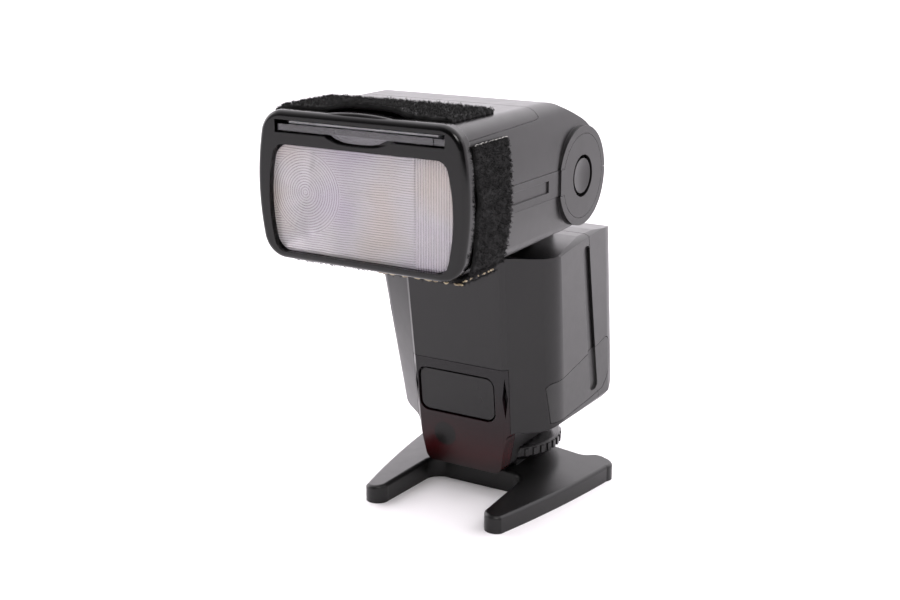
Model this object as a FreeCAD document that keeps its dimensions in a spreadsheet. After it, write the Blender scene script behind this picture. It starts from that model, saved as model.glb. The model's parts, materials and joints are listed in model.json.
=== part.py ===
import FreeCAD, Part
import Sketcher
import math
import os
import re

# Speedlight flash on a small table stand.
# Frame: +Z up, -Y towards the lens, origin at the mouth of the stand's tripod socket, millimetres.
# Body parts are drawn about the swivel axis, head parts about the tilt axis, and placed afterwards.

doc = FreeCAD.newDocument("speedlight")

# ---------------------------------------------------------------- driving dimensions
DIMS = [
    ("swivel_y", -15.5, "swivel axis, from the tripod socket"),
    ("pivot_z", 117.7, "tilt axis above the floor"),
    ("lean", 8.3, "backward lean of the body's front and rear faces, degrees"),
    ("running", 0.05, "radial clearance of a shaft in its bearing"),
    ("gap", 0.3, "clearance between parts that move"),
    ("seam", 0.1, "half the seam between two shells"),
    ("seam_y", 34.0, "where the plane between the body shells meets the floor"),
    ("seam_lean", 12.5, "lean of that plane, degrees"),
    ("wall", 2.2, "body shell wall"),
    ("body_half_w", 34.0, "half width of the body"),
    ("body_depth", 61.0, "depth of the body, front to rear face"),
    ("body_ref_z", 66.0, "height at which the body's plan is drawn"),
    ("body_front", -19.85, "front face at that height"),
    ("panel_half_w", 17.85, "half width of the flat front panel at that height"),
    ("panel_flare", 0.0258, "widening of the panel per millimetre of height"),
    ("corner_x", 34.4, "half width over the body's front corners at that height"),
    ("corner_flare", 0.0594, "widening over the front corners per millimetre of height"),
    ("corner_depth", 8.86, "depth of the front corners behind the panel at that height"),
    ("corner_rise", 0.1013, "loss of that depth per millimetre of height"),
    ("flank_z", 27.0, "underside of the body's flanks"),
    ("keel_z", 18.0, "underside of the body above the lock ring"),
    ("chin_z", 11.0, "lowest point of the front chin"),
    ("body_top", 95.0, "top ridge of the body"),
    ("head_half_w", 34.4, "half width of the head at its top and bottom edges"),
    ("head_bow", 85.0, "radius of the head's bowed sides"),
    ("head_wall", 2.0, "head shell wall"),
    ("head_top", 25.2, "head top above the tilt axis"),
    ("head_low", -20.3, "head underside below the tilt axis, at the front"),
    ("bezel_front", -74.6, "front of the bezel"),
    ("shell_front", -70.0, "front of the head shells"),
    ("ear_r", 16.5, "radius of the head's rear end about the tilt axis"),
    ("boss_x", 38.1, "outer face of the round side bosses"),
    ("slot_half_w", 22.0, "half width of the slot that takes the neck"),
    ("slot_r", 17.5, "radius of the slot's front wall"),
    ("neck_half_w", 21.4, "half width of the neck"),
    ("neck_r", 16.2, "radius of the neck's top"),
    ("axle_r", 3.0, "tilt axle radius"),
    ("collar_r", 15.8, "radius of the neck's turning collar"),
    ("foot_w", 18.6, "width of the shoe foot"),
    ("foot_len", 18.6, "length of the shoe foot"),
    ("foot_z", 6.2, "underside of the shoe foot"),
    ("foot_thick", 2.0, "thickness of the shoe foot"),
    ("foot_neck_r", 6.15, "radius of the neck above the shoe foot"),
    ("screw_r", 9.0, "radius of the threaded column that carries the lock ring"),
    ("ring_r", 22.0, "lock ring radius"),
    ("ring_low", 11.6, "underside of the lock ring"),
    ("ring_high", 17.2, "top of the lock ring"),
    ("socket_r", 2.55, "minor radius of the tripod thread"),
    ("cell_r", 7.2, "radius of a battery cell"),
    ("cell_len", 50.2, "length of a battery cell"),
    ("cell_low_z", 41.6, "axis of the lower cells"),
    ("cell_pitch", 14.7, "distance between cell axes"),
    ("pad_thick", 1.8, "thickness of the hook-and-loop pads"),
    ("pad_front", -70.0, "front edge of the pads"),
    ("pad_rear", -49.5, "rear edge of the pads"),
]
sheet = doc.addObject("Spreadsheet::Sheet", "dims")
for row, (alias, size, meaning) in enumerate(DIMS, start=1):
    sheet.set(f"A{row}", meaning)
    sheet.set(f"B{row}", str(size))
    sheet.setAlias(f"B{row}", alias)
doc.recompute()
ALIASES = {alias for alias, size, meaning in DIMS}


# ---------------------------------------------------------------- helpers
def bound(text):
    """The expression with every sheet alias written as a reference to the sheet."""
    return re.sub(r"[a-z][a-z_]*", lambda m: f"dims.{m[0]}" if m[0] in ALIASES else m[0], str(text))


def value(text):
    """What an expression comes to, as a number."""
    return float(sheet.evalExpression(str(text)))


def bind(part, prop, text):
    part.setExpression(prop, bound(text))


def place(part, at, turn=None):
    """Give a part its Placement: a fixed turn and a bound position."""
    if turn:
        part.Placement = FreeCAD.Placement(FreeCAD.Vector(), turn)
    for axis, text in zip("xyz", at):
        bind(part, f"Placement.Base.{axis}", text)
    return part


TURNS = {
    "X": FreeCAD.Rotation(FreeCAD.Vector(0, 0, 1), FreeCAD.Vector(1, 0, 0)),
    "Y": FreeCAD.Rotation(FreeCAD.Vector(0, 0, 1), FreeCAD.Vector(0, 1, 0)),
    "Z": FreeCAD.Rotation(),
}


def block(name, low, high):
    """Box between two corners."""
    part = doc.addObject("Part::Box", name)
    for prop, a, b in zip(("Length", "Width", "Height"), low, high):
        bind(part, prop, f"({b}) - ({a})")
    return place(part, low)


def rod(name, radius, start, axis, length):
    """Cylinder that starts at a point and runs along +X, +Y or +Z."""
    part = doc.addObject("Part::Cylinder", name)
    bind(part, "Radius", radius)
    bind(part, "Height", length)
    return place(part, start, TURNS[axis])


def fuse(name, *parts):
    if len(parts) == 1:
        return parts[0]
    whole = doc.addObject("Part::MultiFuse", name)
    whole.Shapes = list(parts)
    return whole


def common(name, *parts):
    whole = doc.addObject("Part::MultiCommon", name)
    whole.Shapes = list(parts)
    return whole


def cut(name, base, *tools):
    whole = doc.addObject("Part::Cut", name)
    whole.Base = base
    whole.Tool = fuse(f"{name}_tools", *tools)
    return whole


def mirrored(name, part):
    """The part's mirror image across the plane X = 0."""
    twin = doc.addObject("Part::Mirroring", name)
    twin.Source = part
    twin.Normal = (1, 0, 0)
    return twin


def both_sides(name, part):
    return fuse(name, part, mirrored(f"{name}_twin", part))


def arc_between(a, b, radius):
    """Arc from a to b; a positive radius turns anticlockwise, a negative one clockwise."""
    chord = b - a
    middle = (a + b) * 0.5
    across = FreeCAD.Vector(-chord.y, chord.x, 0).normalize()
    half = chord.Length / 2
    if abs(radius) < half:
        raise ValueError(f"an arc of radius {radius} can't span {2 * half:.2f}")
    sagitta = abs(radius) - math.sqrt(radius * radius - half * half)
    crest = middle - across * math.copysign(sagitta, radius)
    return Part.Arc(a, crest, b) if radius > 0 else Part.Arc(b, crest, a)


def draw(sketch, outline):
    """Closed outline of (x, y) corners; (x, y, r) reaches that corner by an arc of radius r."""
    points = [FreeCAD.Vector(value(p[0]), value(p[1]), 0) for p in outline]
    ends = []
    for k, corner in enumerate(outline):
        a, b = points[k - 1], points[k]
        edge = arc_between(a, b, value(corner[2])) if len(corner) == 3 else Part.LineSegment(a, b)
        sketch.addGeometry(edge)
        begins = sketch.Geometry[k].StartPoint.distanceToPoint(a) < 1e-6
        ends.append((1, 2) if begins else (2, 1))
    for k, corner in enumerate(outline):
        after = (k + 1) % len(outline)
        sketch.addConstraint(Sketcher.Constraint("Coincident", k, ends[k][1], after, ends[after][0]))
        for kind, text, place_now in zip(("DistanceX", "DistanceY"), corner, points[k]):
            row = sketch.addConstraint(Sketcher.Constraint(kind, -1, 1, k, ends[k][1], place_now))
            bind(sketch, f"Constraints[{row}]", text)
        if len(corner) == 3:
            row = sketch.addConstraint(Sketcher.Constraint("Radius", k, abs(value(corner[2]))))
            bind(sketch, f"Constraints[{row}]", f"abs({corner[2]})")


def new_sketch(body, plane, level):
    sketch = body.newObject("Sketcher::SketchObject", f"{body.Name}_{plane}")
    flat = [o for o in body.Origin.OriginFeatures if o.Role == f"{plane}_Plane"][0]
    sketch.AttachmentSupport = [(flat, "")]
    sketch.MapMode = "FlatFace"
    bind(sketch, "AttachmentOffset.Base.z", level)
    return sketch


def slab(name, plane, outline, low, high):
    """An outline on the XY, XZ or YZ plane, padded from one level to the other."""
    body = doc.addObject("PartDesign::Body", name)
    level = f"-({high})" if plane == "XZ" else low
    sketch = new_sketch(body, plane, level)
    draw(sketch, outline)
    pad = body.newObject("PartDesign::Pad", f"{name}_pad")
    pad.Profile = sketch
    bind(pad, "Length", f"({high}) - ({low})")
    doc.recompute()
    return body


def rounded(body, radius, chosen):
    """Fillet the body's edges that pass the test, which is given each edge."""
    tip = body.Tip
    names = [f"Edge{k + 1}" for k, edge in enumerate(tip.Shape.Edges) if chosen(edge)]
    fillet = body.newObject("PartDesign::Fillet", f"{body.Name}_fillet{len(body.Group)}")
    fillet.Base = (tip, names)
    bind(fillet, "Radius", radius)
    doc.recompute()
    return body


def along(axis):
    """Test for straight edges that run along an axis."""
    way = {"X": FreeCAD.Vector(1, 0, 0), "Y": FreeCAD.Vector(0, 1, 0), "Z": FreeCAD.Vector(0, 0, 1)}[axis]

    def test(edge):
        ends = [v.Point for v in edge.Vertexes]
        return len(ends) == 2 and abs((ends[1] - ends[0]).normalize() * way) > 0.999

    return test


def at_level(axis, text):
    """Test for edges that lie wholly at one level of an axis."""
    level = value(text)

    def test(edge):
        box = edge.BoundBox
        low, high = getattr(box, f"{axis}Min"), getattr(box, f"{axis}Max")
        return abs(low - level) < 1e-3 and abs(high - level) < 1e-3

    return test


def frame_of(half_w, low, high):
    """Corners of a rectangle about X = 0, anticlockwise."""
    return [(f"-({half_w})", low), (half_w, low), (half_w, high), (f"-({half_w})", high)]


def rectangle(left, right, low, high):
    return [(left, low), (right, low), (right, high), (left, high)]


SUBPARTS = {}


def node(name, part, at=("0", "0", "0"), turn=None):
    """Name a finished sub-part and place it."""
    part.Label = name
    place(part, at, turn)
    SUBPARTS[name] = part
    return part


BODY_AT = ("0", "swivel_y", "0")
HEAD_AT = ("0", "swivel_y", "pivot_z")


# ---------------------------------------------------------------- table stand
def stand():
    plan = [
        ("-14", "-17"), ("-19", "-22", "6"), ("-20", "-46"), ("-27.5", "-49", "-4.2"),
        ("-38.5", "10", "-420"),
        ("-35", "16.5", "-4.2"), ("-29", "14.5", "-5"), ("-25", "12.5", "5"), ("25", "12.5"),
        ("29", "14.5", "5"),
        ("35", "16.5", "-5"), ("38.5", "10", "-4.2"), ("27.5", "-49", "-420"), ("20", "-46", "-4.2"),
        ("19", "-22"), ("14", "-17", "6"),
    ]
    plate = slab("stand_plan", "XY", plan, "0", "9")
    crown = rod("stand_crown", "225", ("0", "-60", "8.7 - 225 - 1.3"), "Y", "90")
    crown.Placement.Rotation = FreeCAD.Rotation(FreeCAD.Vector(0, 0, 1), FreeCAD.Vector(0, 1, 0.026))
    top = common("stand_top", plate, crown)
    doc.recompute()
    soft = doc.addObject("Part::Fillet", "stand_soft")
    soft.Base = top
    upper = [k + 1 for k, e in enumerate(top.Shape.Edges) if e.BoundBox.ZMin > 1]
    soft.Edges = [(k, 1.3, 1.3) for k in upper]
    shoe = block("shoe_block", ("-12.5", "-11.4", "3"), ("12.5", "12.5", "9.9"))
    channel = block("shoe_channel", ("-9.5", "-9.6", "foot_z - 0.2"),
                    ("9.5", "30", "foot_z + foot_thick + 0.2"))
    lips = block("shoe_mouth", ("-6.6", "-9.6", "foot_z"), ("6.6", "30", "12"))
    groove = block("shoe_groove", ("-1.8", "-9.6", "4.8"), ("1.8", "30", "foot_z"))
    socket = rod("stand_socket", "4.5", ("0", "0", "-1"), "Z", "5.2")
    whole = fuse("stand_whole", soft, shoe)
    node("stand", cut("stand_cut", whole, channel, lips, groove, socket))


def stand_thread_insert():
    barrel = rod("insert_barrel", "4.5", ("0", "0", "0"), "Z", "4.2")
    bore = rod("insert_bore", "socket_r", ("0", "0", "-1"), "Z", "6")
    node("stand_thread_insert", cut("insert_cut", barrel, bore))


# ---------------------------------------------------------------- shoe foot and lock ring
PIN_Y = "-7.5"
FOOT_SCREWS = [(x, y) for x in ("-8.7", "8.7") for y in ("-8.7", "8.7")]


def mounting_foot():
    plate = slab("foot_plate", "XY", rectangle("-foot_w/2", "foot_w/2", "-foot_len/2", "foot_len/2"),
                 "foot_z", "foot_z + foot_thick")
    rounded(plate, "1.2", along("Z"))
    neck = rod("foot_neck", "foot_neck_r", ("0", "0", "foot_z + 0.5"), "Z", "8")
    column = rod("foot_column", "screw_r", ("0", "0", "ring_low"), "Z", "keel_z - ring_low")
    flange = rod("foot_flange", "15", ("0", "0", "keel_z - 0.4"), "Z", "1.5")
    solid = fuse("foot_solid", plate, neck, column, flange)
    contact = rod("foot_contact_bore", "1.3 + gap", ("0", "0", "0"), "Z", "14")
    lock = rod("foot_lock_bore", "1.3", ("0", PIN_Y, "0"), "Z", "13.5")
    holes = []
    for k, (x, y) in enumerate(FOOT_SCREWS):
        holes.append(rod(f"foot_screw_hole{k}", "1.2", (x, y, "15"), "Z", "6"))
        holes.append(rod(f"foot_screw_sink{k}", "2", (x, y, "keel_z - 1"), "Z", "1.4"))
    node("mounting_foot", cut("foot_cut", solid, contact, lock, *holes))


def foot_screws():
    screws = []
    for k, (x, y) in enumerate(FOOT_SCREWS):
        head = rod(f"foot_screw_head{k}", "2", (x, y, "keel_z - 0.4"), "Z", "0.8")
        shank = rod(f"foot_screw_shank{k}", "1.2", (x, y, "keel_z - 0.2"), "Z", "7")
        screws.append(fuse(f"foot_screw{k}", head, shank))
    group = doc.addObject("Part::Compound", "foot_screw_group")
    group.Links = screws
    node("foot_screws", group)


def foot_contact_pin():
    start = ("0", "0", "foot_z - 0.4")
    node("foot_contact_pin", rod("contact_pin", "1.3", start, "Z", "4"), start)


def clamp_plate():
    disc = rod("clamp_disc", "12.5", ("0", "0", "10.3"), "Z", "1.1")
    bore = rod("clamp_bore", "foot_neck_r + gap", ("0", "0", "0"), "Z", "16")
    pin = rod("lock_pin", "1", ("0", PIN_Y, "foot_z + 0.6"), "Z", "4.2")
    node("clamp_plate", fuse("clamp_whole", cut("clamp_cut", disc, bore), pin))


def lock_ring():
    """Knurled ring: a chamfered disc with a pattern of small ribs round its rim."""
    body = doc.addObject("PartDesign::Body", "ring_body")
    sketch = new_sketch(body, "XZ", "0")
    bore = "screw_r + gap"
    draw(sketch, [(bore, "ring_low"), ("ring_r - 2.4", "ring_low"), ("ring_r - 0.5", "ring_low + 1.9"),
                  ("ring_r - 0.5", "ring_high - 0.6"), ("ring_r - 1.1", "ring_high"), (bore, "ring_high")])
    turn = body.newObject("PartDesign::Revolution", "ring_turn")
    turn.Profile = sketch
    turn.ReferenceAxis = (sketch, ["V_Axis"])
    doc.recompute()
    rib_plan = new_sketch(body, "XY", "ring_low + 1.9")
    draw(rib_plan, rectangle("ring_r - 1.5", "ring_r", "-0.85", "0.85"))
    rib = body.newObject("PartDesign::Pad", "ring_rib")
    rib.Profile = rib_plan
    bind(rib, "Length", "ring_high - ring_low - 2.9")
    doc.recompute()
    ribs = body.newObject("PartDesign::PolarPattern", "ring_ribs")
    ribs.Originals = [rib]
    ribs.Axis = (rib_plan, ["N_Axis"])
    ribs.Angle = 360
    ribs.Occurrences = 40
    body.Tip = ribs
    node("lock_ring", body)


# ---------------------------------------------------------------- body casing
def half_plan(inset, level, corner_r):
    """Plan of the body at a height, right half from the front middle to the rear middle."""
    depth = f"(body_front + (body_ref_z - {level}) * tan(lean))"
    above = f"({level} - body_ref_z)"
    panel_x = f"(panel_half_w + panel_flare*{above})"
    apex = (f"(corner_x + corner_flare*{above})", f"({depth} + corner_depth - corner_rise*{above})")
    edge = (f"({panel_x} + 1.5)", f"({depth} + 1.3)")
    return [
        (f"{panel_x} - {inset}*0.4", f"{depth} + {inset}"),
        (f"{edge[0]} - {inset}*0.45", f"{edge[1]} + {inset}*0.9"),
        (f"{apex[0]} - 0.25*({apex[0]} - {edge[0]}) - {inset}*0.5",
         f"{apex[1]} - 0.25*({apex[1]} - {edge[1]}) + {inset}*0.87"),
        (f"{apex[0]} - {inset}", f"{apex[1]} + 4.4", f"{corner_r} - {inset}"),
        (f"body_half_w - 0.2 - {inset}", f"{depth} + 48.8"),
        (f"31.1 - {inset}*0.8", f"{depth} + 56.5 - {inset}*0.5", "14"),
        (f"26 - {inset}*0.4", f"{depth} + body_depth - 0.9 - {inset}", "7"),
    ]


def plan_sketch(body, inset, level, corner_r):
    half = half_plan(inset, level, corner_r)
    depth = f"(body_front + (body_ref_z - {level}) * tan(lean))"
    rear = ("0", f"{depth} + body_depth - {inset}", "160")
    radii = ["160", "7", "14", None, f"{corner_r} - {inset}", None, None]
    left = [(f"-({p[0]})", p[1], r) if r else (f"-({p[0]})", p[1]) for p, r in zip(reversed(half), radii)]
    sketch = new_sketch(body, "XY", level)
    draw(sketch, half + [rear] + left)
    return sketch


def body_form(name, inset):
    """The body's outer form, or the same form drawn in by an inset."""
    base = doc.addObject("PartDesign::Body", f"{name}_plan")
    low = plan_sketch(base, inset, "chin_z - 1", "10.5")
    high = plan_sketch(base, inset, "body_top + 12", "5.8")
    column = base.newObject("PartDesign::AdditiveLoft", f"{name}_column")
    column.Profile = low
    column.Sections = [high]
    column.Ruled = True
    doc.recompute()
    top = f"body_top - {inset}"
    side = [
        ("-40", f"chin_z + {inset}"), (f"3 - {inset}", f"chin_z + {inset}"),
        (f"4.2 - {inset}", f"keel_z + {inset}"),
        ("24", f"keel_z + {inset}"), (f"28.3 - {inset}*0.7", f"26.2 + {inset}*0.7"),
        (f"43 - {inset}", "43.4", "48"),
        ("60", "62"), ("60", f"{top} - 18"), (f"41 - {inset}", f"{top} - 10"),
        (f"31 - {inset}*0.5", f"{top} - 0.9", "10.5"), ("20", top), ("8", top, "200"),
        ("-17", f"{top} - 3.4", "160"),
        (f"-23.5 + {inset}", f"{top} - 7.5", "7"), ("-40", f"{top} - 12"),
    ]
    chin = (f"13.2 - {inset}", f"chin_z + {inset}")
    face = [
        (f"15.4 - {inset}", f"13.2 + {inset}*0.6", "3.5"), (f"17.4 - {inset}", f"flank_z - 3 + {inset}"),
        (f"20.4 - {inset}", f"flank_z + {inset}", "-3"), (f"26.5 - {inset}*0.6", f"flank_z + {inset}"),
        (f"body_half_w + 0.9 - {inset}", f"flank_z + 9.6 + {inset}*0.3", "9.4"),
        (f"body_half_w + 2.2 - {inset}", f"{top} - 4"), (f"body_half_w - 1.4 - {inset}*0.6", top, "4.6"),
    ]
    face_radii = ["4.6", None, "9.4", None, "-3", None, "3.5"]
    mirror = [(f"-({p[0]})", p[1]) for p in reversed([chin] + face)]
    left = [mirror[0]] + [(*p, r) if r else p for p, r in zip(mirror[1:], face_radii)]
    side_slab = slab(f"{name}_side", "YZ", side, "-40", "40")
    face_slab = slab(f"{name}_face", "XZ", [chin] + face + left, "-60", "70")
    return common(name, base, side_slab, face_slab)


def seam_half(name, shift, front):
    """Half-space in front of or behind the leaning seam between the two body shells."""
    low, high = f"seam_y + {shift}", f"seam_y - 103*tan(seam_lean) + {shift}"
    far = "-90" if front else "90"
    outline = [(low, "0"), (high, "103"), (far, "103"), (far, "0")]
    return slab(name, "YZ", outline if not front else outline[::-1], "-45", "45")


REAR_AT = ("0", "swivel_y + body_front + body_depth - 0.35", "body_ref_z + 1.2")
REAR_TURN = FreeCAD.Rotation(FreeCAD.Vector(1, 0, 0), value("lean"))
REAR_LOCAL = ("0", "body_front + body_depth - 0.35", "body_ref_z + 1.2")
COVER = [("-3.3", "30.3"), ("21.1", "33.2"), ("29.4", "34.6"), ("33.8", "40", "11"), ("34.8", "46"),
         ("33.6", "51"),
         ("30.8", "53.4", "3.4"), ("-5", "45.8"), ("-6.8", "43.8", "2.2")]
DOOR = [("-2.6", "32.6"), ("26.4", "32.6"), ("26.4", "66.5"), ("-9.6", "66.5")]
WINDOW = [("-18.4", "9"), ("18.4", "9"), ("19.2", "51"), ("-19.2", "51")]
SLOTS = [("48", "32.5", "0.75"), ("16.5", "12.6", "0.6")]
PLATE = [("-16", "31.2"), ("13.5", "31.2"), ("13.5", "46.6"), ("-16", "46.6")]


def grown(outline, by):
    """An outline whose corners are pushed outwards from its middle, in x and y."""
    mid_x = sum(value(p[0]) for p in outline) / len(outline)
    mid_y = sum(value(p[1]) for p in outline) / len(outline)
    out = []
    for corner in outline:
        step_x = by if value(corner[0]) > mid_x else f"-({by})"
        step_y = by if value(corner[1]) > mid_y else f"-({by})"
        out.append((f"{corner[0]} + {step_x}", f"{corner[1]} + {step_y}", *corner[2:]))
    return out


def casing():
    """The two body shells, with everything that opens through them."""
    outer = body_form("body_outer", "0")
    inner = body_form("body_inner", "wall")
    top_hole = rod("body_top_hole", "collar_r + gap", ("0", "0", "80"), "Z", "30")
    foot_hole = rod("body_foot_hole", "15", ("0", "-swivel_y", "0"), "Z", "keel_z + 1.1")
    ring_room = rod("body_ring_room", "ring_r + 0.8", ("0", "-swivel_y", "0"), "Z", "keel_z - 0.2")
    cover_hole = slab("body_cover_hole", "YZ", grown(COVER, "0.2"), "28.6", "40")
    door_hole = slab("body_door_hole", "YZ", [("-3.6", "32.3"), ("26.7", "32.3"), ("26.7", "66.8"),
                                              ("-10.6", "66.8")],
                     "-40", "-27.5")
    window_room = skin("window_room", outer, grown(WINDOW, "0.12"), "XZ", "-40", "-6", "1.95")
    window_hole = slab("body_window_hole", "XZ", frame_of("14", "22", "48.5"), "-40", "-6")
    eye_hole = rod("body_eye_hole", "4.8", (EYE[0], "-20", EYE[1]), "Y", "18")
    rear_hole = slab("body_rear_hole", "XZ", frame_of("26.5", "-24.3", "24.3"), "-6", "10")
    place(rear_hole, REAR_LOCAL, REAR_TURN)
    bosses = [rod(f"body_boss{k}", "2.3", (x, f"{y} - swivel_y", "keel_z + 0.5"), "Z", "7")
              for k, (x, y) in enumerate(FOOT_SCREWS)]
    screw_holes = [rod(f"body_boss_hole{k}", "1.2", (x, f"{y} - swivel_y", "0"), "Z", "keel_z + 6.8")
                   for k, (x, y) in enumerate(FOOT_SCREWS)]
    bossed = fuse("body_bossed", cut("body_hollow", outer, inner), *bosses)
    shell = cut("body_shell", bossed, *screw_holes, top_hole, foot_hole, ring_room, cover_hole, door_hole,
                window_room, window_hole, eye_hole, rear_hole)
    channels = both_sides("body_channels", channel("body_channel"))
    node("body_front_shell", cut("front_shell_cut", shell, seam_half("behind_seam", "-seam", False),
                                 channels),
         BODY_AT)
    node("body_rear_shell", cut("rear_shell_cut", shell, seam_half("before_seam", "seam", True), channels),
         BODY_AT)
    return outer


def channel(name):
    """The shallow channel down the flank, in front of the seam between the shells."""
    steps = []
    for k, (inner, front, width) in enumerate((("0.95", "5", "5"), ("0.45", "5.7", "5.7"))):
        outline = [(f"seam_y - {z}*tan(seam_lean) - {front} + {side}", z)
                   for side, z in ((width, "35.5"), (width, "91"), ("0", "91"), ("0", "35.5"))]
        step = slab(f"{name}_step{k}", "YZ", outline, "20", "40")
        rounded(step, "2.1", along("X"))
        steps.append(cut(f"{name}_cut{k}", step, body_form(f"{name}_form{k}", inner)))
    return fuse(name, *steps)


EYE = ("-7", "22.5")


def skin(name, outer, outline, plane, low, high, depth):
    """A piece of the body's skin: an outline cut out of the outer form, to a given depth."""
    chosen = slab(f"{name}_area", plane, outline, low, high)
    return cut(f"{name}_skin", common(f"{name}_layer", outer, chosen), body_form(f"{name}_back", depth))


def front_pieces(outer):
    """The red window with its side slots, the sensor cover in its recess and the eye behind the window."""
    window = skin("window", outer, WINDOW, "XZ", "-40", "-6.2", "1.8")
    recess = slab("window_recess", "XZ", grown(PLATE, "0.7"), "-40", "-6")
    rounded(recess, "3.6", along("Y"))
    slots = []
    for k, (high, low, half) in enumerate(SLOTS):
        middle = f"({high} + {low})/2"
        edge = f"(panel_half_w + panel_flare*({middle} - body_ref_z) + 0.7)"
        outline = [(f"{edge} - 0.2", low), (f"{edge} + {half}", middle), (f"{edge} + 0.1", high),
                   (f"{edge} - {half}", middle)]
        slots.append(both_sides(f"window_slots{k}", slab(f"window_slot{k}", "XZ", outline, "-40", "-6")))
    node("front_red_window", cut("window_cut", window, recess, *slots), BODY_AT)
    plate = slab("sensor_area", "XZ", PLATE, "-40", "-6")
    rounded(plate, "3", along("Y"))
    sunk = body_form("sensor_front", "0.5")
    back = body_form("sensor_rear", "1.9")
    node("sensor_cover", cut("sensor_cut", common("sensor_layer", sunk, plate), back), BODY_AT)
    eye = rod("slave_eye", "4.4", (EYE[0], "-8.9", EYE[1]), "Y", "3")
    node("slave_sensor", eye, (EYE[0], "swivel_y - 10.4", EYE[1]), TURNS["Y"])


def side_pieces(outer):
    grooves = both_sides("cover_channels", channel("cover_channel"))
    cover = skin("terminal", outer, COVER, "YZ", "28.6", "40", "1.7")
    node("terminal_cover", cut("terminal_grooved", cover, grooves), BODY_AT)
    door = skin("door", outer, DOOR, "YZ", "-40", "-28.6", "2")
    node("battery_door", cut("door_grooved", door, grooves), BODY_AT)
    for name, y, radius, bore in (("sync_socket", "3", "4.2", "1.5"), ("power_socket", "18", "5", "2.6")):
        flange = block(f"{name}_flange", ("24.7", f"{y} - 6", "35.5"), ("26.2", f"{y} + 6", "46.5"))
        barrel = rod(f"{name}_barrel", radius, ("25", y, "41"), "X", "4.6")
        hollow = rod(f"{name}_hollow", bore, ("25.5", y, "41"), "X", "9")
        node(name, cut(f"{name}_cut", fuse(f"{name}_solid", flange, barrel), hollow), BODY_AT)


# ---------------------------------------------------------------- inside the body
def battery_pieces():
    cell_x, cell_y = "-28.9", "4.2"
    cells = []
    for row in (0, 1):
        for column in (0, 1):
            at = (cell_x, f"{cell_y} + {column}*cell_pitch", f"cell_low_z + {row}*cell_pitch")
            body = rod(f"cell_{row}{column}", "cell_r", at, "X", "cell_len - 1.4")
            nub = rod(f"cell_nub_{row}{column}", "2.7", (f"{cell_x} + cell_len - 1.5", at[1], at[2]),
                      "X", "1.5")
            cells.append(fuse(f"cell_whole_{row}{column}", body, nub))
    group = doc.addObject("Part::Compound", "cell_group")
    group.Links = cells
    node("aa_cells", group, BODY_AT)
    low, high = "cell_low_z - cell_r - 0.3", "cell_low_z + cell_pitch + cell_r + 0.3"
    front, back = f"{cell_y} - cell_r - 0.3", f"{cell_y} + cell_pitch + cell_r + 0.3"
    outside = block("tray_outside", ("-29.2", f"{front} - 0.9", f"{low} - 0.9"),
                    ("24.4", f"{back} + 0.9", f"{high} + 0.9"))
    inside = block("tray_inside", ("-40", front, low), ("23.4", back, high))
    fitted = common("tray_fitted", outside, body_form("tray_room", "wall + 0.4"))
    node("battery_tray", cut("tray_cut", fitted, inside), BODY_AT)
    plates = []
    for row in (0, 1):
        middle = f"cell_low_z + {row}*cell_pitch"
        plates.append(block(f"contact_{row}", ("21.7", "0", f"{middle} - 5"),
                            ("22.9", "24", f"{middle} + 5")))
    contacts = doc.addObject("Part::Compound", "contact_group")
    contacts.Links = plates
    node("battery_contacts", contacts, BODY_AT)


def electronics():
    board = block("board", ("-28", "29", "38"), ("28", "30.6", "76"))
    node("main_board", board, ("-28", "swivel_y + 29", "38"))
    can = rod("capacitor_can", "7.9", ("-26", "-1", "73.1"), "X", "36")
    node("main_capacitor", can, ("-26", "swivel_y + 14.5", "73.1"), TURNS["X"])
    core = slab("transformer_core", "XY", frame_of("6.5", "-6", "6"), "0", "3")
    bobbin = slab("transformer_bobbin", "XY", frame_of("4.5", "-4.5", "4.5"), "2.5", "9")
    cap = slab("transformer_cap", "XY", frame_of("6.5", "-6", "6"), "8.5", "11")
    node("charging_transformer", fuse("transformer", core, bobbin, cap), ("20", "swivel_y + 14.5", "66"))


REAR_ROWS = [("mode_button", "-15"), ("zoom_button", "0"), ("function_button", "15")]
SIDE_KEYS = [("test_button", "-18.5"), ("power_button", "18.5")]
ROW_Z, PAD_Z = "-2.6", "-14.5"


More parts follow.
